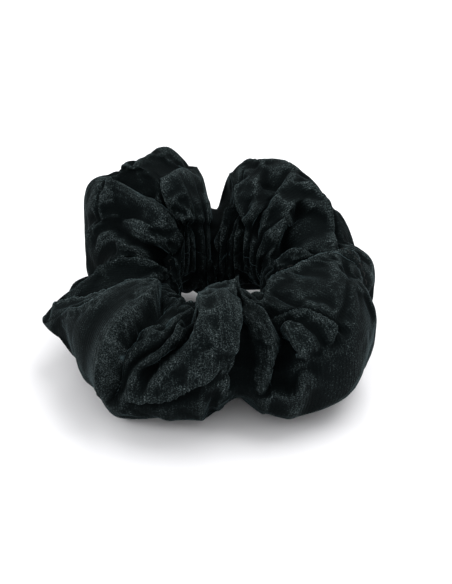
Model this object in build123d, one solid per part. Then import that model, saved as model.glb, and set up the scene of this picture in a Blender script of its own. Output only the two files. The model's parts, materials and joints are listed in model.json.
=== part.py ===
"""A gathered velvet scrunchie, lying flat: a cloth tube drawn up on a ring of flat elastic.

Millimetres. +Z is up, +X is to the right and +Y is to the back. The shapes are worked out round
the ring's own middle, with angles going round +Z from +X, and are moved at the end so that the
origin is on the table under the middle of the whole piece. The cover and the elastic are each one
piece of goods; each is modelled as a front and a back half that part at two gathers, so that the
ring can be pulled open along Y. The cover's halves have the puffed cloth's outer shape and are
solid but for the casing that the elastic lies in.
"""

import os
from math import copysign, cos, degrees, pi, radians, sin

from build123d import *

# The ring.
RING_X = 2.1  # from the origin to the ring's middle
HOLE_RADIUS = 15.0  # the gathered inner edge of the cover
CLOTH = 1.5  # the velvet with its pile, where the long seam turns it in
FLATTENING = 0.6  # how far a lobe is pressed flat where it lies on the table
HALF_GAP = 0.3  # between the front half and the back half
ROUNDNESS = 2.6  # power of the superellipse: 2 is an ellipse, and more is fuller
SECTION_POINTS = 16

# The cover round the ring: angle, outer radius, lowest and highest point of the tube there.
# A waist is where the gathers are drawn tight, and a lobe is where the cloth puffs out between.
COVER = [
    (14, 50, 5, 44),  # right waist
    (30, 57, 1, 50),
    (52, 58, 0, 57),  # back right lobe
    (76, 58, 0, 56),
    (90, 42, 10, 39),  # back waist
    (103, 57, 0, 58),
    (126, 59, 0, 61),  # back left lobe
    (144, 58, 0, 58),
    (159, 47, 4, 38),  # left waist
    (186, 60, 3, 35),
    (206, 57, 1, 40),  # front left lobe
    (232, 60, 0, 42),
    (256, 58, 0, 42),
    (277, 52, 3, 38),  # front waist
    (300, 60, 0, 45),
    (322, 62, 0, 45),  # front right lobe
    (345, 57, 1, 46),
]
RIGHT_WAIST, LEFT_WAIST = COVER[0][0], COVER[8][0]
BACK = (RIGHT_WAIST, LEFT_WAIST)
FRONT = (LEFT_WAIST, 360 + RIGHT_WAIST)

# The elastic: a flat band whose ends lap and are sewn together.
ELASTIC_RADIUS = 28.0
ELASTIC_WIDTH = 6.0
ELASTIC_THICKNESS = 1.0
ELASTIC_HEIGHT = 22.0  # of the band's middle above the table
LAP_LENGTH = 12.0
ZIGZAG_STITCHES = 9
ZIGZAG_MARGIN = 1.0  # from the band's edges
CASING_CLEARANCE = 0.5  # round the elastic and its stitches

# The seams.
CLOSING_SEAM = 352.0  # degrees: where the ends of the tube and of the elastic are joined
LONG_SEAM_HEIGHT = 24.0
LONG_STITCH_INSET = 1.2  # from the cloth's inner face to the stitch line
THREAD_RADIUS = 0.22
STITCH_LENGTH = 2.2
STITCH_PITCH = 3.4
LOWEST_STITCH = 1.0  # above the table


def cover_at(angle):
    """Outer radius, lowest and highest point of the cover at an angle, eased between the
    entries of COVER."""
    for here, after in zip(COVER, COVER[1:] + COVER[:1]):
        span = (after[0] - here[0]) % 360
        past = (angle - here[0]) % 360
        if past <= span:
            share = (1 - cos(pi * past / span)) / 2
            return [a + (b - a) * share for a, b in zip(here[1:], after[1:])]


def on_ring(radius, angle, height):
    """A point from its radius, its angle in degrees and its height."""
    return Vector(radius * cos(radians(angle)), radius * sin(radians(angle)), height)


def superellipse(value):
    """A coordinate of the superellipse, from a cosine or a sine."""
    return copysign(abs(value) ** (2 / ROUNDNESS), value)


def section_point(angle, turn):
    """A point of the cover's section: turn is 0 at the outer edge and goes up and inwards."""
    outer, low, high = cover_at(angle)
    low -= FLATTENING
    radius = (outer + HOLE_RADIUS) / 2 + (outer - HOLE_RADIUS) / 2 * superellipse(cos(turn))
    height = (high + low) / 2 + (high - low) / 2 * superellipse(sin(turn))
    return on_ring(radius, angle, height)


def tube_section(angle):
    """The section's outline, which starts and ends at the hole's edge, going up."""
    turns = [pi - 2 * pi * i / SECTION_POINTS for i in range(SECTION_POINTS)]
    points = [section_point(angle, turn) for turn in turns]
    up = (0, 0, 1)
    return Wire([Spline(points + points[:1], tangents=[up, up])])


def section_angles(start, end):
    """Both ends, every entry of COVER between them, and halfway from each entry to the next."""
    entries = [entry[0] + whole for whole in (0, 360) for entry in COVER]
    halfway = [(a + b) / 2 for a, b in zip(entries, entries[1:])]
    clear = 2.0  # degrees: a section this near an end would crowd it
    between = [a for a in entries + halfway if start + clear < a < end - clear]
    return [start, *sorted(between), end]


def tube(start, end):
    """The cover's outer shape as a solid, from one angle to another."""
    return Solid.make_loft([tube_section(angle) for angle in section_angles(start, end)])


def ring_sector(inner, outer, low, high, start, end):
    """A flat ring's sector, from one angle to another."""
    profile = Plane.XZ * Pos((inner + outer) / 2, (low + high) / 2) * Rectangle(outer - inner, high - low)
    turned = revolve(profile, axis=Axis.Z, revolution_arc=end - start)
    return turned.rotate(Axis.Z, start)


def stitch(start, end):
    """One straight stitch between two points."""
    along = end - start
    return Solid.make_cylinder(THREAD_RADIUS, along.length, Plane(start, z_dir=along))


def without_gap(span, radius):
    """A half's angles, less its share of the gap to the other half at a radius."""
    gap = degrees(HALF_GAP / 2 / radius)
    return span[0] + gap, span[1] - gap


def casing(start, end):
    """The channel for the elastic and its stitches, running a little way out past both ends."""
    overrun = 1.0  # degrees
    beyond_band = 2 * THREAD_RADIUS + CASING_CLEARANCE
    half_height = ELASTIC_WIDTH / 2 + CASING_CLEARANCE
    return ring_sector(
        ELASTIC_RADIUS - ELASTIC_THICKNESS / 2 - beyond_band,
        ELASTIC_RADIUS + 1.5 * ELASTIC_THICKNESS + beyond_band,
        ELASTIC_HEIGHT - half_height,
        ELASTIC_HEIGHT + half_height,
        start - overrun,
        end + overrun,
    )


def cover_half(span):
    """One half of the puffed velvet tube, with its lobes pressed flat on the table."""
    start, end = without_gap(span, HOLE_RADIUS)
    room = 200.0  # more than the whole piece measures
    above_table = Pos(0, 0, room / 2) * Box(room, room, room)
    return (tube(start, end) - casing(start, end)) & above_table


def elastic_band(start, end, layer=0):
    """A stretch of the elastic. Layer 1 is the lapped end outside layer 0."""
    inner = ELASTIC_RADIUS - ELASTIC_THICKNESS / 2 + layer * ELASTIC_THICKNESS
    low = ELASTIC_HEIGHT - ELASTIC_WIDTH / 2
    return ring_sector(inner, inner + ELASTIC_THICKNESS, low, low + ELASTIC_WIDTH, start, end)


def lap_span():
    """The angles over which the elastic's ends lap."""
    half = degrees(LAP_LENGTH / 2 / ELASTIC_RADIUS)
    return CLOSING_SEAM - half, CLOSING_SEAM + half


def elastic_front():
    return Compound(
        [elastic_band(*without_gap(FRONT, ELASTIC_RADIUS)), elastic_band(*lap_span(), layer=1)]
    )


def elastic_back():
    return elastic_band(*without_gap(BACK, ELASTIC_RADIUS))


def elastic_join_thread():
    """A zigzag through both layers of the lap, seen as bars across its inner and outer faces."""
    start, end = lap_span()
    half_bar = ELASTIC_WIDTH / 2 - ZIGZAG_MARGIN
    faces = (
        ELASTIC_RADIUS - ELASTIC_THICKNESS / 2 - THREAD_RADIUS,
        ELASTIC_RADIUS + 1.5 * ELASTIC_THICKNESS + THREAD_RADIUS,
    )
    bars = []
    for i in range(ZIGZAG_STITCHES):
        angle = start + (end - start) * (i + 1) / (ZIGZAG_STITCHES + 1)
        for radius in faces:
            foot = on_ring(radius, angle, ELASTIC_HEIGHT - half_bar)
            head = on_ring(radius, angle, ELASTIC_HEIGHT + half_bar)
            bars.append(stitch(foot, head))
    return Compound(bars)


def long_seam_thread(span):
    """The lockstitch through the turned-in edges, showing as short stitches above and below."""
    radius = HOLE_RADIUS + CLOTH + LONG_STITCH_INSET
    start, end = without_gap(span, HOLE_RADIUS)
    count = int(radians(end - start) * radius / STITCH_PITCH)
    pitch = (end - start) / count
    half = degrees(STITCH_LENGTH / 2 / radius)
    stitches = []
    for i in range(count):
        middle = start + (i + 0.5) * pitch
        for side in (-1, 1):
            height = LONG_SEAM_HEIGHT + side * (CLOTH + THREAD_RADIUS / 2)
            a = on_ring(radius, middle - half, height)
            b = on_ring(radius, middle + half, height)
            stitches.append(stitch(a, b))
    return Compound(stitches)


def closing_seam_thread():
    """The topstitch round the tube where its two ends meet, sunk halfway into the velvet."""
    outline = tube_section(CLOSING_SEAM)
    count = int(outline.length / STITCH_PITCH)
    half = STITCH_LENGTH / 2 / outline.length
    stitches = []
    for i in range(count):
        middle = (i + 0.5) / count
        a, b = outline @ (middle - half), outline @ (middle + half)
        if min(a.Z, b.Z) > LOWEST_STITCH:
            stitches.append(stitch(a, b))
    return Compound(stitches)


PARTS = {
    "cover_front": lambda: cover_half(FRONT),
    "cover_back": lambda: cover_half(BACK),
    "elastic_front": elastic_front,
    "elastic_back": elastic_back,
    "elastic_join_thread": elastic_join_thread,
    "long_seam_thread_front": lambda: long_seam_thread(FRONT),
    "long_seam_thread_back": lambda: long_seam_thread(BACK),
    "closing_seam_thread": closing_seam_thread,
}

os.makedirs("parts", exist_ok=True)
for name, make in PARTS.items():
    export_step(Pos(RING_X, 0, 0) * make(), f"parts/{name}.step")
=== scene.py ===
"""Looks of a gathered velvet scrunchie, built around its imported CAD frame.

Lengths are in millimetres until a mesh is made, and angles are in degrees. A place on the cover is
(angle, turn): the angle round the ring from +X, and the turn round the tube's section, which is 0
at the outer edge, 90 on top, 180 at the hole and 270 underneath.
"""

import json
from math import cos, pi, radians, sin

import bpy
import numpy as np
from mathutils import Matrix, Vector


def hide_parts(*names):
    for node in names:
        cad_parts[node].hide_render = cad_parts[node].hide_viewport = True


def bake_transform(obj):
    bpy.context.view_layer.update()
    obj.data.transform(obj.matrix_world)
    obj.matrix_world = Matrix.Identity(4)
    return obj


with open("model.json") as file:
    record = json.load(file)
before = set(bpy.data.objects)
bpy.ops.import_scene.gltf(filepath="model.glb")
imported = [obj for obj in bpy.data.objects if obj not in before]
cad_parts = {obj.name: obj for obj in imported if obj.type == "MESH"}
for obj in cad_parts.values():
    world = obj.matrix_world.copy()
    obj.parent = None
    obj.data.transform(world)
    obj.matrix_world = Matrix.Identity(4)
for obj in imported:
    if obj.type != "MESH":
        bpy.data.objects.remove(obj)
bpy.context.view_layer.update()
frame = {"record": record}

MM = 0.001
RING_X = frame["record"]["mounts"][1]["pos_m"][0] / MM  # the ring's middle

# The cover's shape before it is folded: angle, inner and outer radius, lowest point at the inner
# and at the outer side, highest point at the inner and at the outer side.
SECTIONS = [
    (2, 15, 54, 6, 4, 37, 46),
    (14, 15, 52, 10, 5, 37, 44),  # right waist
    (28, 15, 54, 18, 2, 42, 51),
    (50, 15, 57, 17, 0, 50, 58),  # back right lobe
    (74, 15, 57, 11, 0, 50, 57),
    (84, 15, 52, 9, 4, 49, 53),
    (91, 15, 42, 8, 10, 41, 41),  # back waist
    (98, 15, 54, 8, 4, 50, 55),
    (112, 15, 60, 11, 0, 54, 63),  # back left lobe
    (126, 14, 60, 17, 0, 54, 64),
    (140, 14, 61, 17, 0, 48, 60),
    (150, 14, 54, 14, 2, 40, 48),
    (160, 13, 45, 10, 5, 33, 35),  # left waist
    (172, 14, 51, 6, 10, 33, 29),
    (186, 14, 60, 4, 13, 34, 23),  # the left tip
    (204, 14, 53, 3, 4, 36, 34),
    (222, 14, 56, 2, 1, 36, 39),  # front left lobe
    (237, 14, 60, 2, 0, 36, 40),
    (250, 14, 57, 2, 0, 35, 42),
    (264, 14, 54, 2, 0, 37, 41),
    (272, 14, 51, 2, 3, 40, 41),
    (280, 14, 48, 3, 8, 40, 38),  # front waist
    (289, 14, 54, 3, 2, 38, 41),
    (298, 14, 59, 3, 0, 37, 43),
    (316, 14, 62, 3, 0, 36, 44),  # front right lobe
    (336, 15, 58, 3, 0, 36, 45),
    (350, 15, 54, 4, 2, 36, 46),
]
ROUNDNESS = 2.6  # power of the superellipse: 2 is an ellipse, and more is fuller

CLOSING_SEAM = 352.0  # degrees: where the ends of the tube and of the elastic are joined

# The main folds: places along the crest, then how far the cloth rises on the left of the crest and
# how wide that slope is, and the same on the right, seen from outside. A negative rise is a hollow.
FOLDS = [
    # left waist: two rolls, one above the other
    ([(155, 10), (155, 60), (160, 110), (165, 145)], -3, 3, 2.5, 4),
    ([(175, 60), (165, 90), (165, 135)], -4, 3, 3.5, 5),
    # left tip: a roll that runs in from it, and a larger one behind the front left lobe
    ([(185, 40), (190, 65), (205, 90)], -4.5, 3, 3.5, 4),
    ([(195, 25), (215, 65), (205, 120)], -5, 4, 4, 6),
    # front left lobe: a deep crease down its middle, and rolls that fall across it to the left
    ([(215, 125), (235, 90), (235, 30), (232, -30)], -8, 5.5, 5, 7),
    ([(235, 65), (250, 90)], -3, 3, 2.5, 4),
    ([(253, 90), (253, 45), (238, -15)], 3, 3, -3.5, 4),
    ([(260, 50), (255, 20), (245, 0)], -4.5, 2.5, -4.5, 2.5),
    ([(264, 95), (260, 40), (245, -10)], 3.5, 4, -4, 3),
    ([(268, 100), (262, 40)], 4, 4, -4.5, 2.5),
    ([(240, -15), (255, -5), (272, 15)], 2.5, 3, -3.5, 3),
    # the tall fold at the front waist
    ([(285, 170), (280, 120), (272, 90)], 3.5, 7, 3.5, 7),
    ([(276, 110), (270, 50), (258, 0)], 4.5, 7, 4.5, 7),
    ([(283, 110), (276, 60), (275, -10)], -8, 8, 4.5, 6),
    ([(273, 30), (274, 0)], -3.5, 2, -3.5, 2),
    # the arched fold beside it, and the pocket at its foot
    ([(293, 165), (291, 110)], 4, 6, 4, 6),
    ([(285, 140), (292, 90), (290, 30), (285, -15)], -6, 5, 6, 3.5),
    ([(288, 0), (294, -4), (300, 12)], -2, 4, 3, 4),
    ([(296, 80), (296, 40), (300, 15)], 3, 5, -3.5, 4),
    # front right lobe: creases fanning out from the arched fold, and the lobe's shoulder
    ([(298, 80), (303, 50), (304, 20)], 2, 2.5, 2, 2.5),
    ([(296, 92), (303, 60), (307, 20)], -2.5, 2.5, -2.5, 2.5),
    ([(292, 95), (308, 75), (315, 20)], -2.5, 2.5, 1.5, 7),
    ([(315, 50), (308, 25)], -1.2, 3, 1.2, 4),
    ([(358, 60), (335, 63), (311, 45)], -2, 2.5, -2, 2.5),
    ([(300, 105), (325, 118), (350, 85), (360, 40)], -5.5, 4, 4, 6),
    ([(362, 138), (368, 112), (355, 86)], -3, 3, 3, 4),
    ([(312, 112), (310, 80)], -2.5, 1.8, -2.5, 1.8),
    # back left lobe: its main crease, two rolls towards the notch, and wrinkles at the left waist
    ([(140, 50), (143, 95), (141, 165)], -6, 6, 4, 8),
    ([(124, 92), (135, 128), (142, 155)], 2, 4, -4, 5),
    ([(115, 88), (117, 128), (128, 160)], 4.5, 6, 4.5, 6),
    ([(145, 10), (153, 65), (146, 96)], -1.5, 2.2, -1.5, 2.2),
    ([(150, 98), (142, 146)], 1.2, 2.5, 1.2, 2.5),
    ([(154, 98), (144, 136)], -1.2, 2, -1.2, 2),
    ([(156, 92), (158, 130), (147, 162)], -3, 2, -3, 2),
    # back right lobe: a roll beside the notch, two dents on top, and three long creases
    ([(80, 95), (68, 130), (50, 155)], 3.5, 6, -3, 4),
    ([(62, 98), (46, 92)], -4, 5, -4, 5),
    ([(72, 84), (62, 66), (48, 78)], 2.5, 5, 2.5, 5),
    ([(44, 96), (40, 120), (33, 146)], 2.5, 4, -3.5, 4),
    ([(36, 88), (26, 105), (10, 142)], -4.5, 4, 3.5, 4),
    ([(44, 88), (36, 68), (18, 66), (2, 74)], -2.5, 4, 2.5, 6),
]
# The back notch's pleats run down its wall to the hole, by turns a ridge and a hollow.
NOTCH_PLEATS = 7
for pleat in range(NOTCH_PLEATS):
    rise = 2.7 * (-1) ** pleat
    places = [(101 - 8 * pleat, 110), (102 - 9 * pleat, 155), (105 - 10 * pleat, 198)]
    FOLDS.append((places, rise, 2.3, rise, 2.3))
# The front left lobe's puckers are short hollows and ridges where it is drawn in at the hole.
LOBE_PUCKERS = 4
for pucker in range(LOBE_PUCKERS):
    rise = -4.0 + 7.0 * (pucker % 2)
    places = [(247 + 5 * pucker, 113), (246 + 5 * pucker, 62)]
    FOLDS.append((places, rise, 2, rise, 2))
SHARPNESS = 1.1  # of a crest: 1 is a sharp edge, and 2 is a soft bump
CREST = 0.7  # how far either side of a crest the two slopes are blended
OVERHANG = 0.08  # how far a crest leans over its hollow, as a share of the step between them
OVERHANG_WIDTH = 3.0
FADE = 0.2  # the share of a fold's length over which each end dies away
FOLD_REACH = 3.5  # slope widths from the crest, past which a fold moves nothing
FOLD_SAMPLES = 48  # along a crest

# Gathers all round, deeper on the side that the main folds leave out.
VIEW = (0.0, -cos(radians(30)), sin(radians(30)))  # towards which the main folds face
GATHERS = 26  # round the ring
GATHER_DEPTH = 4.0
SHARE_WITH_FOLDS = 0.08  # of the gathers' depth, where the main folds are

# Pleats drawn up at the hole.
PLEATS = 34  # round the ring
PLEAT_DEPTH = 2.2
PLEAT_REACH = 70  # of turn, either side of the hole

# How the cover settles as cloth, on a coarser grid than the one that shows.
FINE = (500, 176)  # squares round the ring and round the tube
COARSE = (150, 60)
INSET = 1.2  # how far within its shape the cover starts, because it swells
HELD_ROWS = {"long": 3, "closing": 2}  # of the coarse grid's points, held along each seam
SETTLE_SCALE = 0.01  # simulation units to the millimetre: ten times life size suits the solver
SETTLE_FRAMES = 20
SETTLE_QUALITY = 4
SETTLE_GROWTH = 0.08  # how much too large the cloth is
SETTLE_MASS = 0.3
SETTLE_STRETCH = 30
SETTLE_SHEAR = 8
SETTLE_BENDING = 0.3
SETTLE_PRESSURE = 0.15
SETTLE_CLEARANCE = 0.004  # between two layers, in simulation units
SETTLE_CAP = 3.5  # how far a point may move

LOWEST = 0.2  # of the cloth above the table

# The seams. An allowance is the cloth that is turned in along a seam.
ALLOWANCE_ROWS = 3
ALLOWANCE_STEP = 2.2
ALLOWANCE_GAP = 0.35  # from the seam's own plane to each of its two allowances
PUCKER = 0.8  # how far a seam draws the cloth in
PUCKER_REACH = 2.5  # squares of the fine grid
DIMPLE = 0.15  # the share of a pucker that comes and goes from stitch to stitch
THREAD_RADIUS = 0.22
STITCH_LENGTH = 2.2
STITCH_PITCH = 3.4
STITCH_ARCH = 1.4  # thread radii from a stitch's ends to its top
STITCH_SINK = 1.0  # thread radii that a stitch's ends lie within the cloth
STITCH_SAMPLES = 7  # along a stitch
TOPSTITCH_ROW = 3  # squares of the fine grid from the closing seam
LONG_STITCH_INSET = 4.0  # from the lips of the long seam

# The elastic: a flat band whose ends lap and are sewn together.
ELASTIC_RADIUS = 28.0
ELASTIC_WIDTH = 6.0
ELASTIC_THICKNESS = 1.0
ELASTIC_HEIGHT = 22.0  # of the band's middle above the table
LAP = 12.3  # degrees either side of the closing seam
LAP_RISE = 10.0  # degrees over which the outer end climbs on to the inner one
ZIGZAG_POINTS = 10
ZIGZAG_HALF_WIDTH = 2.0
ELASTIC_STEP = 1.5  # degrees
ELASTIC_ROUNDING = 0.3  # of the band's edges

# The velvet.
TUBE = (0.39, 0.145)  # metres: the cloth's length round the ring and its width round the tube
WALE_PITCH = 0.0013  # metres
WALE_WANDER = 3.0  # radians
WALE_HEIGHT = 0.22  # in the bump, against the pile's 1
STREAKS = (1700.0, 260.0, 1.0)  # to the metre: the pile lies in streaks across the cloth
# How a ridge is told from a crease, for folds and then for their edges: how many squares of the
# fine grid it is compared over each way, how far it stands out, and its share of the whole.
RELIEF = [((7, 5), 0.8, 0.7), ((2, 2), 0.14, 0.3)]
# What the velvet's colour is made of: its start, and the shares that are added to it. The relief's
# share is painted light: it paints the ridges paler as a highlight and the creases darker as shade.
SHADE_START = -0.44
PAINTED_HIGHLIGHT_AND_SHADE_SHARE = 0.26
NAP_SHARE = 0.28
STREAK_SHARE = 0.25
TUFT_SHARE = 1.0
WALE_SHARE = 0.03
VELVET_SHADES = [
    (0.00, (0.0013, 0.0017, 0.0018)),
    (0.28, (0.0016, 0.0022, 0.0023)),
    (0.54, (0.0038, 0.0054, 0.0056)),
    (0.76, (0.0320, 0.0420, 0.0430)),
    (1.00, (0.1700, 0.2050, 0.2100)),
]
ELASTIC_RIB_PITCH = 0.0007  # metres
ELASTIC_RIB_HEIGHT = 0.3  # against the yarn's 1
ELASTIC_SHADES = [(0.2, (0.42, 0.41, 0.38)), (0.7, (0.74, 0.73, 0.70))]
THREAD_SHADES = [(0.3, (0.002, 0.003, 0.003)), (0.7, (0.006, 0.008, 0.008))]

# The studio, in metres.
FLOOR_WIDTH = 6.0
CAMERA_TARGET = ((RING_X + 3.5) * MM, 0, 24.65 * MM)
CAMERA_DISTANCE = 0.568
CAMERA_ELEVATION = 30  # degrees, as VIEW
CAMERA_LENS = 100
LIT = (0, 0, 0.02)  # the point that the lights face
LIGHTS = [  # name, place, width and watts
    ("overhead", (0.45, 0.38, 1.05), 1.1, 11),
    ("left", (-0.9, -0.2, 0.5), 0.4, 3),
]


def at_section(angle):
    """The six numbers of SECTIONS at each of some angles, eased from entry to entry."""
    table = np.array(SECTIONS, float)
    stops = np.append(table[:, 0], table[0, 0] + 360)
    rows = np.vstack([table[:, 1:], table[:1, 1:]])
    wrapped = (np.asarray(angle) - stops[0]) % 360 + stops[0]
    index = np.clip(np.searchsorted(stops, wrapped, side="right") - 1, 0, len(table) - 1)
    share = (wrapped - stops[index]) / (stops[index + 1] - stops[index])
    share = smooth(share)[..., None]
    return rows[index] * (1 - share) + rows[index + 1] * share


def superellipse(value):
    """A coordinate of the superellipse, from a cosine or a sine."""
    return np.sign(value) * np.abs(value) ** (2 / ROUNDNESS)


def base_point(angle, turn):
    """Points of the unfolded cover, in millimetres round the ring's middle."""
    inner, outer, low_in, low_out, high_in, high_out = np.moveaxis(at_section(angle), -1, 0)
    out = 0.5 + 0.5 * superellipse(np.cos(np.radians(turn)))
    up = 0.5 + 0.5 * superellipse(np.sin(np.radians(turn)))
    radius = inner + (outer - inner) * out
    low = low_in + (low_out - low_in) * out
    high = high_in + (high_out - high_in) * out
    way = np.radians(angle)
    return np.stack([radius * np.cos(way), radius * np.sin(way), low + (high - low) * up], -1)


def unit(vectors):
    """The vectors at a length of 1."""
    return vectors / np.maximum(np.linalg.norm(vectors, axis=-1, keepdims=True), 1e-9)


def base_normal(angle, turn):
    """The unfolded cover's outward directions."""
    step = 1.0
    along = base_point(angle + step, turn) - base_point(angle - step, turn)
    around = base_point(angle, turn + step) - base_point(angle, turn - step)
    return unit(np.cross(along, around))


def smooth(value):
    """A step from 0 to 1 with soft ends."""
    value = np.clip(value, 0, 1)
    return value * value * (3 - 2 * value)


def curve_through(places, count):
    """Catmull-Rom samples through places."""
    stops = np.array(places, float)
    padded = np.vstack([2 * stops[0] - stops[1], stops, 2 * stops[-1] - stops[-2]])
    samples = []
    for t in np.linspace(0, len(stops) - 1, count):
        i = min(int(t), len(stops) - 2)
        u = t - i
        a, b, c, d = padded[i : i + 4]
        cubic = (3 * b - a - 3 * c + d) * u**3
        samples.append(0.5 * (2 * b + (c - a) * u + (2 * a - 5 * b + 4 * c - d) * u**2 + cubic))
    return np.array(samples)


def add_fold(moved, points, normals, fold):
    """Moves the points near one fold."""
    places, left_rise, left_width, right_rise, right_width = fold
    track = curve_through(places, FOLD_SAMPLES)
    crest = base_point(track[:, 0], track[:, 1])
    crest_normal = base_normal(track[:, 0], track[:, 1])
    forward = unit(np.gradient(crest, axis=0))
    left = unit(np.cross(crest_normal, forward))
    reach = FOLD_REACH * max(left_width, right_width)
    near = ((points > crest.min(0) - reach) & (points < crest.max(0) + reach)).all(-1)
    offset = points[near][:, None] - crest[None]
    nearest = (offset**2).sum(-1).argmin(1)
    away = offset[np.arange(len(offset)), nearest]
    side = (away * left[nearest]).sum(-1)
    distance = np.linalg.norm(away, axis=-1)
    same_face = smooth((normals[near] * crest_normal[nearest]).sum(-1) * 2)
    along = nearest / (FOLD_SAMPLES - 1)
    ends = smooth(along / FADE) * smooth((1 - along) / FADE)
    on_left = smooth(0.5 + 0.5 * side / CREST)
    left_slope = left_rise * np.exp(-((distance / left_width) ** SHARPNESS))
    right_slope = right_rise * np.exp(-((distance / right_width) ** SHARPNESS))
    rise = (left_slope * on_left + right_slope * (1 - on_left)) * ends * same_face
    lean = OVERHANG * (right_rise - left_rise) * np.exp(-((distance / OVERHANG_WIDTH) ** 2))
    lean = lean * ends * same_face
    moved[near] += normals[near] * rise[:, None] + left[nearest] * lean[:, None]


def noise(angle, turn, cells_round, cells_turn, seed):
    """Smooth noise from -1 to 1 that closes up round the ring and round the tube."""
    lattice = np.random.default_rng(seed).uniform(-1, 1, (cells_round, cells_turn))
    a = (np.asarray(angle) / 360 * cells_round) % cells_round
    t = (np.asarray(turn) / 360 * cells_turn) % cells_turn
    i, j = a.astype(int) % cells_round, t.astype(int) % cells_turn
    u, v = smooth(a - np.floor(a)), smooth(t - np.floor(t))
    i_next, j_next = (i + 1) % cells_round, (j + 1) % cells_turn
    low = lattice[i, j] * (1 - u) + lattice[i_next, j] * u
    high = lattice[i, j_next] * (1 - u) + lattice[i_next, j_next] * u
    return low * (1 - v) + high * v


def gathers(angle, turn, normals):
    """How far the smaller gathers rise: rounded puffs with sharp creases between them."""
    slow = noise(angle, turn, cells_round=9, cells_turn=4, seed=1)
    quick = noise(angle, turn, cells_round=21, cells_turn=7, seed=2)
    drift = 9 * slow + 4 * quick
    large = np.abs(noise(angle + drift, turn, GATHERS, cells_turn=4, seed=3))
    small = np.abs(noise(angle - drift, turn + 8 * drift, 2 * GATHERS, cells_turn=8, seed=4))
    height = 1.6 * large + 0.5 * small - 0.8
    hidden = 1 - smooth(0.45 + 1.4 * (normals @ np.array(VIEW)))
    under = smooth(0.5 - 1.2 * normals[..., 2])
    share = SHARE_WITH_FOLDS + (1 - SHARE_WITH_FOLDS) * hidden * (1 - 0.5 * under)
    return GATHER_DEPTH * height * share


def pleats(angle, turn):
    """How far the pleats at the hole rise."""
    way = np.radians(angle)
    phase = PLEATS * way / 2 + 0.9 * np.sin(3 * way + 1) + 0.5 * np.sin(7 * way + 2)
    wave = np.sqrt(np.abs(np.sin(phase))) - 0.75
    length = PLEAT_REACH * (1 + 0.35 * np.sin(5 * way) + 0.25 * np.sin(11 * way + 1))
    return PLEAT_DEPTH * wave * smooth(1 - np.abs(turn % 360 - 180) / length)


def cover_points(size):
    """The cover's grid, its long way first: from one lip of the closing seam round to the other,
    and across from one lip of the long seam to the other."""
    angle = CLOSING_SEAM + 360 * np.linspace(0, 1, size[0] + 1)
    turn = 180 + 360 * np.linspace(0, 1, size[1] + 1)
    angle, turn = np.meshgrid(angle, turn, indexing="ij")
    points = base_point(angle, turn)
    normals = base_normal(angle, turn)
    rise = gathers(angle, turn, normals) + pleats(angle, turn) - INSET
    moved = (points + normals * rise[..., None]).reshape(-1, 3)
    for fold in FOLDS:
        add_fold(moved, points.reshape(-1, 3), normals.reshape(-1, 3), fold)
    moved[:, 2] = np.maximum(moved[:, 2], LOWEST)
    return moved.reshape(points.shape)


def settle(points):
    """How far each point moves as the cover buckles like cloth: it is a little too large for its
    shape, so it creases between the folds, held at its lips."""
    sim = new_object("settling", grid_mesh("settling", points * SETTLE_SCALE))
    held = sim.vertex_groups.new(name="held")
    index = np.arange(points.shape[0] * points.shape[1]).reshape(points.shape[:2])
    long, closing = HELD_ROWS["long"], HELD_ROWS["closing"]
    lips = [index[:, :long], index[:, -long:], index[:closing], index[-closing:]]
    held.add(np.unique(np.concatenate([lip.ravel() for lip in lips])).tolist(), 1.0, "REPLACE")
    cloth = sim.modifiers.new("cloth", "CLOTH")
    fabric = cloth.settings
    fabric.quality = SETTLE_QUALITY
    fabric.mass = SETTLE_MASS
    fabric.vertex_group_mass = "held"
    fabric.tension_stiffness = SETTLE_STRETCH
    fabric.compression_stiffness = SETTLE_STRETCH
    fabric.shear_stiffness = SETTLE_SHEAR
    fabric.bending_stiffness = SETTLE_BENDING
    fabric.shrink_min = -SETTLE_GROWTH
    fabric.effector_weights.gravity = 0
    fabric.use_pressure = True
    fabric.uniform_pressure_force = SETTLE_PRESSURE
    cloth.collision_settings.use_collision = False
    cloth.collision_settings.use_self_collision = True
    cloth.collision_settings.self_distance_min = SETTLE_CLEARANCE
    cloth.point_cache.frame_start = 1
    cloth.point_cache.frame_end = SETTLE_FRAMES
    scene = bpy.context.scene
    for step in range(1, SETTLE_FRAMES + 1):
        scene.frame_set(step)
    settled = sim.evaluated_get(bpy.context.evaluated_depsgraph_get()).data
    places = np.empty(len(settled.vertices) * 3, np.float32)
    settled.vertices.foreach_get("co", places)
    scene.frame_set(1)
    bpy.data.objects.remove(sim)
    moved = places.reshape(points.shape).astype(float) / SETTLE_SCALE - points
    far = np.linalg.norm(moved, axis=-1, keepdims=True)
    return moved * SETTLE_CAP * np.tanh(far / SETTLE_CAP) / np.maximum(far, 1e-9)


def refined(values, size):
    """A grid of values, drawn smoothly over a finer grid."""
    for axis in (0, 1):
        last = values.shape[axis] - 1
        place = np.linspace(0, last, size[axis] + 1)
        i = np.minimum(place.astype(int), last - 1)
        u = (place - i).reshape([-1 if k == axis else 1 for k in range(3)])
        a, b, c, d = (np.take(values, np.clip(i + k, 0, last), axis) for k in (-1, 0, 1, 2))
        cubic = (3 * b - a - 3 * c + d) * u**3
        values = 0.5 * (2 * b + (c - a) * u + (2 * a - 5 * b + 4 * c - d) * u**2 + cubic)
    return values


def grid_mesh(name, points):
    """A mesh over a grid of points."""
    rows, columns = points.shape[:2]
    index = np.arange(rows * columns).reshape(rows, columns)
    faces = np.stack([index[:-1, :-1], index[1:, :-1], index[1:, 1:], index[:-1, 1:]], -1)
    mesh = bpy.data.meshes.new(name)
    mesh.from_pydata(points.reshape(-1, 3).tolist(), [], faces.reshape(-1, 4).tolist())
    mesh.shade_smooth()
    return mesh


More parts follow.
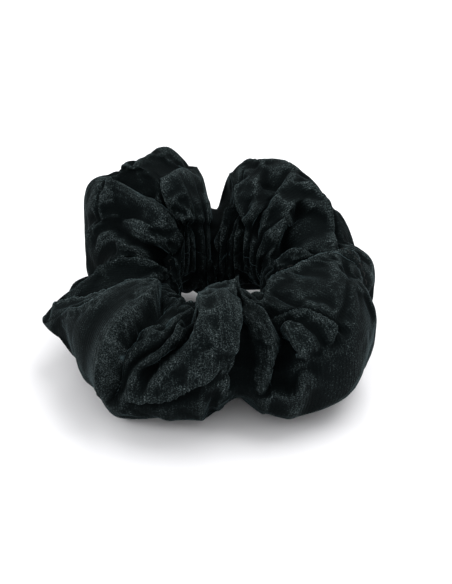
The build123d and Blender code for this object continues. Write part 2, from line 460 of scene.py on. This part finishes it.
def relief_of(points):
    """How far each point stands out from the cloth about it, from -1 in a crease to 1 on a ridge."""
    along = np.roll(points, -1, 0) - np.roll(points, 1, 0)
    around = np.roll(points, -1, 1) - np.roll(points, 1, 1)
    normals = unit(np.cross(along, around))
    relief = 0
    for reaches, height, share in RELIEF:
        near = points
        for axis, reach in enumerate(reaches):
            steps = range(-reach, reach + 1)
            near = sum(np.roll(near, k, axis) for k in steps) / len(steps)
        relief = relief + share * np.clip(((points - near) * normals).sum(-1) / height, -1, 1)
    return relief


def map_cloth(mesh, shape):
    """The flat cloth's own lengths, in metres, as the mesh's UV map."""
    rows, columns = shape
    length = np.linspace(0, TUBE[0], rows)
    width = np.linspace(0, TUBE[1], columns)
    u, v = np.meshgrid(length, width, indexing="ij")
    corners = np.empty(len(mesh.loops), np.int32)
    mesh.loops.foreach_get("vertex_index", corners)
    flat = np.stack([u.ravel(), v.ravel()], -1)[corners]
    mesh.uv_layers.new(name="cloth").data.foreach_set("uv", flat.ravel())


def turned_in(points):
    """The cover's grid with the allowances of both its seams added inside the tube."""
    middle = points.mean(1, keepdims=True)
    outward = unit(points[:, :1] * [1, 1, 0])
    steps = ALLOWANCE_STEP * np.arange(1, ALLOWANCE_ROWS + 1)[None, :, None]
    gap = np.array([0, 0, ALLOWANCE_GAP])
    lower = points[:, :1] + outward * steps - gap
    upper = points[:, -1:] + outward * steps + gap
    wide = np.concatenate([lower[:, ::-1], points, upper], 1)
    steps = steps.reshape(-1, 1, 1)
    ends = []
    for row, way in ((0, 1), (-1, -1)):
        inward = unit(middle[row] - wide[row])[None]
        along = unit(middle[row + way] - middle[row])[None]
        ends.append(wide[row][None] + inward * steps + along * ALLOWANCE_GAP)
    return np.concatenate([ends[0][::-1], wide, ends[1]], 0)


def puckered(points):
    """The cover's grid drawn in along its closing seam, and a little at each stitch there."""
    middle = points.mean(1, keepdims=True)
    inward = unit(middle - points)
    rows = np.arange(len(points))
    away = np.minimum(rows, rows[::-1])
    draw = PUCKER * np.exp(-((away / PUCKER_REACH) ** 2))
    around = np.concatenate([[0], np.cumsum(np.linalg.norm(np.diff(points[0], axis=0), axis=-1))])
    dimple = 1 - DIMPLE + DIMPLE * np.cos(2 * pi * around / STITCH_PITCH)
    return points + inward * (draw[:, None] * dimple[None])[..., None]


def swept(name, runs, outline):
    """A mesh of one closed outline swept along several runs, each of places and of the directions
    of the outline's own two axes at them."""
    points, faces = [], []
    sides = len(outline)
    for places, first, second in runs:
        start = len(points)
        for place, a, b in zip(places, first, second):
            points += [place + a * x + b * y for x, y in outline]
        for i in range(len(places) - 1):
            ring = start + i * sides
            faces += [
                (ring + j, ring + (j + 1) % sides, ring + sides + (j + 1) % sides, ring + sides + j)
                for j in range(sides)
            ]
        faces.append(tuple(range(start + sides - 1, start - 1, -1)))
        faces.append(tuple(range(len(points) - sides, len(points))))
    mesh = bpy.data.meshes.new(name)
    mesh.from_pydata([tuple(p) for p in in_place(points)], [], faces)
    mesh.shade_smooth()
    return mesh


def circle(radius, sides=8):
    """The corners of a regular outline that stands for a circle."""
    turns = [2 * pi * i / sides for i in range(sides)]
    return [(radius * cos(turn), radius * sin(turn)) for turn in turns]


def rounded_rectangle(width, height, rounding):
    """The points of a rectangle's outline with round corners."""
    outline = []
    for x, y, start in ((1, 1, 0), (-1, 1, 90), (-1, -1, 180), (1, -1, 270)):
        corner = (x * (width / 2 - rounding), y * (height / 2 - rounding))
        for turn in (0, 30, 60, 90):
            way = radians(start + turn)
            outline.append((corner[0] + rounding * cos(way), corner[1] + rounding * sin(way)))
    return outline


def run_along(places, hint):
    """A run for swept(): the first axis is square to the run and to the hint."""
    places = np.asarray(places, float)
    forward = unit(np.gradient(places, axis=0))
    first = unit(np.cross(forward, hint))
    return places, first, unit(np.cross(first, forward))


def stitches(line, lift):
    """Runs for a row of stitches along a line of points, each arching over its lift."""
    length = np.concatenate([[0], np.cumsum(np.linalg.norm(np.diff(line, axis=0), axis=-1))])
    arch = np.sin(np.linspace(0, pi, STITCH_SAMPLES))[:, None]
    height = (STITCH_ARCH * arch - STITCH_SINK) * THREAD_RADIUS
    runs = []
    for middle in np.arange(STITCH_PITCH / 2, length[-1] - STITCH_PITCH / 2, STITCH_PITCH):
        stops = middle + STITCH_LENGTH * np.linspace(-0.5, 0.5, STITCH_SAMPLES)
        places = np.stack([np.interp(stops, length, line[:, k]) for k in range(3)], -1)
        raised = np.stack([np.interp(stops, length, lift[:, k]) for k in range(3)], -1)
        runs.append(run_along(places + raised * height, raised))
    return runs


def on_ring(radius, angle, height):
    """Points from their radii, angles in degrees and heights."""
    way = np.radians(np.asarray(angle, float))
    return np.stack([radius * np.cos(way), radius * np.sin(way), height + 0 * way], -1)


def new_object(name, mesh):
    """A new object in the scene."""
    thing = bpy.data.objects.new(name, mesh)
    bpy.context.scene.collection.objects.link(thing)
    return thing


def principled(name):
    """A new material, its node tree and its Principled shader."""
    material = bpy.data.materials.new(name)
    material.use_nodes = True
    return material, material.node_tree, material.node_tree.nodes["Principled BSDF"]


def wire(tree, kind, inputs=(), **settings):
    """A new shader node with its settings, and its inputs linked or set by name or number."""
    made = tree.nodes.new(kind)
    for setting, value in settings.items():
        setattr(made, setting, value)
    for socket, value in dict(inputs).items():
        if isinstance(value, bpy.types.NodeSocket):
            tree.links.new(value, made.inputs[socket])
        else:
            made.inputs[socket].default_value = value
    return made


def worked_out(tree, operation, *values):
    """The result of a Math node over sockets and numbers."""
    return wire(tree, "ShaderNodeMath", dict(enumerate(values)), operation=operation).outputs[0]


def noise_at(tree, place, scale, detail, roughness=0.5):
    """The factor of a noise texture over a place."""
    inputs = {"Vector": place, "Scale": scale, "Detail": detail, "Roughness": roughness}
    return wire(tree, "ShaderNodeTexNoise", inputs).outputs["Fac"]


def add_bump(tree, shader, height, strength, distance):
    """A bump of some metres on the shader's normal."""
    inputs = {"Height": height, "Strength": strength, "Distance": distance}
    bump = wire(tree, "ShaderNodeBump", inputs)
    tree.links.new(bump.outputs["Normal"], shader.inputs["Normal"])


def ramp(tree, factor, stops):
    """A colour ramp over a factor, from pairs of place and colour."""
    made = wire(tree, "ShaderNodeValToRGB", {"Fac": factor})
    elements = made.color_ramp.elements
    for element, (place, colour) in zip([elements[0], elements[1]], (stops[0], stops[-1])):
        element.position = place
        element.color = (*colour, 1)
    for place, colour in stops[1:-1]:
        elements.new(place).color = (*colour, 1)
    return made.outputs["Color"]


def velvet():
    """Black velvet: a soft sheen, a mottled nap, fine wales, and painted light: paler ridges, darker
    creases.
    """
    material, tree, shader = principled("black velvet")
    place = wire(tree, "ShaderNodeTexCoord").outputs["Object"]
    flat = wire(tree, "ShaderNodeUVMap", uv_map="cloth").outputs["UV"]
    relief = wire(tree, "ShaderNodeAttribute", attribute_name="relief").outputs["Fac"]
    across = wire(tree, "ShaderNodeSeparateXYZ", {"Vector": flat}).outputs["X"]
    shift = worked_out(tree, "MULTIPLY", noise_at(tree, place, 120.0, 3.0), WALE_WANDER)
    turns = worked_out(tree, "MULTIPLY", across, 2 * pi / WALE_PITCH)
    wale = worked_out(tree, "SINE", worked_out(tree, "ADD", turns, shift))
    drawn = wire(tree, "ShaderNodeMapping", {"Vector": flat, "Scale": STREAKS}).outputs[0]
    pile = noise_at(tree, place, 2600.0, 2.0)
    # The relief paints a highlight on the ridges and shade in the creases into the base colour.
    shades = [
        (relief, PAINTED_HIGHLIGHT_AND_SHADE_SHARE),
        (noise_at(tree, place, 170.0, 4.0), NAP_SHARE),
        (noise_at(tree, drawn, 1.0, 2.0), STREAK_SHARE),
        (noise_at(tree, place, 2700.0, 1.0, roughness=0.4), TUFT_SHARE),
        (wale, WALE_SHARE),
    ]
    total = SHADE_START
    for value, share in shades:
        total = worked_out(tree, "MULTIPLY_ADD", value, share, total)
    tree.links.new(ramp(tree, total, VELVET_SHADES), shader.inputs["Base Color"])
    weave = worked_out(tree, "MULTIPLY_ADD", wale, WALE_HEIGHT, pile)
    add_bump(tree, shader, weave, strength=0.4, distance=0.0003)
    shader.inputs["Roughness"].default_value = 0.9
    shader.inputs["Specular IOR Level"].default_value = 0.06
    shader.inputs["Sheen Weight"].default_value = 0.13
    shader.inputs["Sheen Roughness"].default_value = 0.2
    shader.inputs["Sheen Tint"].default_value = (0.6, 0.92, 1.0, 1)
    shader.inputs["Specular Tint"].default_value = (0.6, 0.93, 1.0, 1)
    return material


def knitted_elastic():
    """Off-white elastic, knitted in fine ribs."""
    material, tree, shader = principled("knitted elastic")
    place = wire(tree, "ShaderNodeTexCoord").outputs["Object"]
    height = wire(tree, "ShaderNodeSeparateXYZ", {"Vector": place}).outputs["Z"]
    rib = worked_out(tree, "SINE", worked_out(tree, "MULTIPLY", height, 2 * pi / ELASTIC_RIB_PITCH))
    yarn = noise_at(tree, place, 1500.0, 3.0)
    relief = worked_out(tree, "MULTIPLY_ADD", rib, ELASTIC_RIB_HEIGHT, yarn)
    tree.links.new(ramp(tree, relief, ELASTIC_SHADES), shader.inputs["Base Color"])
    add_bump(tree, shader, relief, strength=0.5, distance=0.0003)
    shader.inputs["Roughness"].default_value = 0.7
    return material


def black_thread():
    """Spun polyester thread, a little glossier than the velvet."""
    material, tree, shader = principled("black thread")
    place = wire(tree, "ShaderNodeTexCoord").outputs["Object"]
    fibre = noise_at(tree, place, 4000.0, 2.0)
    tree.links.new(ramp(tree, fibre, THREAD_SHADES), shader.inputs["Base Color"])
    add_bump(tree, shader, fibre, strength=0.5, distance=0.0001)
    shader.inputs["Roughness"].default_value = 0.6
    shader.inputs["Specular IOR Level"].default_value = 0.2
    return material


def in_place(points):
    """Points round the ring's middle as metres in the frame."""
    return (np.asarray(points) + [RING_X, 0, 0]) * MM


def bridge(piece, *nodes):
    """The piece stretches between the two halves and stands for some of their nodes."""
    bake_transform(piece)
    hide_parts(*nodes)


def add_cover():
    """The velvet cover. Returns its grid of points, without the allowances."""
    points = cover_points(FINE)
    points = points + refined(settle(cover_points(COARSE)), FINE)
    points = puckered(points)
    points[..., 2] = np.maximum(points[..., 2], LOWEST)
    sewn = turned_in(points)
    cover = new_object("cover", grid_mesh("cover", in_place(sewn)))
    map_cloth(cover.data, sewn.shape[:2])
    # The relief is kept on the cover for the velvet, which paints a highlight on its ridges and
    # shade in its creases.
    relief = np.pad(relief_of(points), ALLOWANCE_ROWS)
    attribute = cover.data.attributes.new("relief", "FLOAT", "POINT")
    attribute.data.foreach_set("value", relief.ravel())
    cover.data.materials.append(velvet())
    bridge(cover, "cover_front", "cover_back")
    return points


def add_elastic():
    """The band, from its inner end once round to its outer end, which lies on the inner one."""
    angle = np.arange(CLOSING_SEAM - LAP, CLOSING_SEAM + 360 + LAP, ELASTIC_STEP)
    climb = smooth((angle - (CLOSING_SEAM + 360 - LAP - LAP_RISE)) / LAP_RISE)
    places = on_ring(ELASTIC_RADIUS + ELASTIC_THICKNESS * climb, angle, ELASTIC_HEIGHT)
    outline = rounded_rectangle(ELASTIC_THICKNESS, ELASTIC_WIDTH, ELASTIC_ROUNDING)
    elastic = new_object("elastic", swept("elastic", [run_along(places, (0, 0, 1))], outline))
    elastic.data.materials.append(knitted_elastic())
    bridge(elastic, "elastic_front", "elastic_back")


def add_thread(name, runs, *nodes):
    """A thread's stitches as one piece."""
    thread = new_object(name, swept(name, runs, circle(THREAD_RADIUS)))
    thread.data.materials.append(black_thread())
    bridge(thread, *nodes)


def add_threads(points):
    """The topstitching of the closing seam, the long seam's lockstitch and the elastic's zigzag."""
    row = points[TOPSTITCH_ROW]
    outward = unit(np.cross(points[TOPSTITCH_ROW + 1] - row, np.gradient(row, axis=0)))
    add_thread("closing_seam_thread", stitches(row, outward), "closing_seam_thread")

    lips = (points[:, 0] + points[:, -1]) / 2
    line = lips + unit(lips * [1, 1, 0]) * LONG_STITCH_INSET
    runs = []
    for side in (-1, 1):
        up = np.tile([0.0, 0.0, side], (len(line), 1))
        runs += stitches(line + up * (ALLOWANCE_GAP + THREAD_RADIUS), up)
    add_thread("long_seam_thread", runs, "long_seam_thread_front", "long_seam_thread_back")

    angle = np.linspace(CLOSING_SEAM - LAP, CLOSING_SEAM + LAP, ZIGZAG_POINTS + 2)[1:-1]
    height = ELASTIC_HEIGHT + ZIGZAG_HALF_WIDTH * (-1.0) ** np.arange(ZIGZAG_POINTS)
    faces = (-ELASTIC_THICKNESS / 2 - THREAD_RADIUS, 1.5 * ELASTIC_THICKNESS + THREAD_RADIUS)
    outward = on_ring(1, angle, 0)
    rows = [on_ring(ELASTIC_RADIUS + face, angle, height) for face in faces]
    runs = [run_along(row, outward) for row in rows]
    add_thread("elastic_join_thread", runs, "elastic_join_thread")


def add_floor():
    """A plain white table top."""
    mesh = bpy.data.meshes.new("floor")
    half = FLOOR_WIDTH / 2
    corners = [(-half, -half, 0), (half, -half, 0), (half, half, 0), (-half, half, 0)]
    mesh.from_pydata(corners, [], [(0, 1, 2, 3)])
    floor = new_object("floor", mesh)
    material, _, shader = principled("white table")
    shader.inputs["Base Color"].default_value = (0.9, 0.9, 0.92, 1)
    shader.inputs["Roughness"].default_value = 0.25
    floor.data.materials.append(material)


def add_light(name, place, size, power):
    """A round soft light that faces the scrunchie."""
    light = bpy.data.lights.new(name, "AREA")
    light.shape = "DISK"
    light.size = size
    light.energy = power
    lamp = bpy.data.objects.new(name, light)
    lamp.location = place
    lamp.rotation_euler = (Vector(LIT) - lamp.location).to_track_quat("-Z", "Y").to_euler()
    bpy.context.scene.collection.objects.link(lamp)


def add_camera():
    """A long lens in front of the scrunchie, looking down on it."""
    data = bpy.data.cameras.new("camera")
    data.lens = CAMERA_LENS
    data.sensor_width = 36
    camera = bpy.data.objects.new("camera", data)
    elevation = radians(CAMERA_ELEVATION)
    back = Vector((0, -cos(elevation), sin(elevation)))
    camera.location = Vector(CAMERA_TARGET) + CAMERA_DISTANCE * back
    camera.rotation_euler = (pi / 2 - elevation, 0, 0)
    bpy.context.scene.collection.objects.link(camera)
    bpy.context.scene.camera = camera


def add_world():
    """An even white studio."""
    world = bpy.data.worlds.new("studio")
    world.use_nodes = True
    background = world.node_tree.nodes["Background"]
    background.inputs["Color"].default_value = (1, 1, 1, 1)
    background.inputs["Strength"].default_value = 1.0
    bpy.context.scene.world = world


add_threads(add_cover())
add_elastic()
add_floor()
add_world()
for light in LIGHTS:
    add_light(*light)
add_camera()
bpy.context.scene.view_settings.view_transform = "Standard"
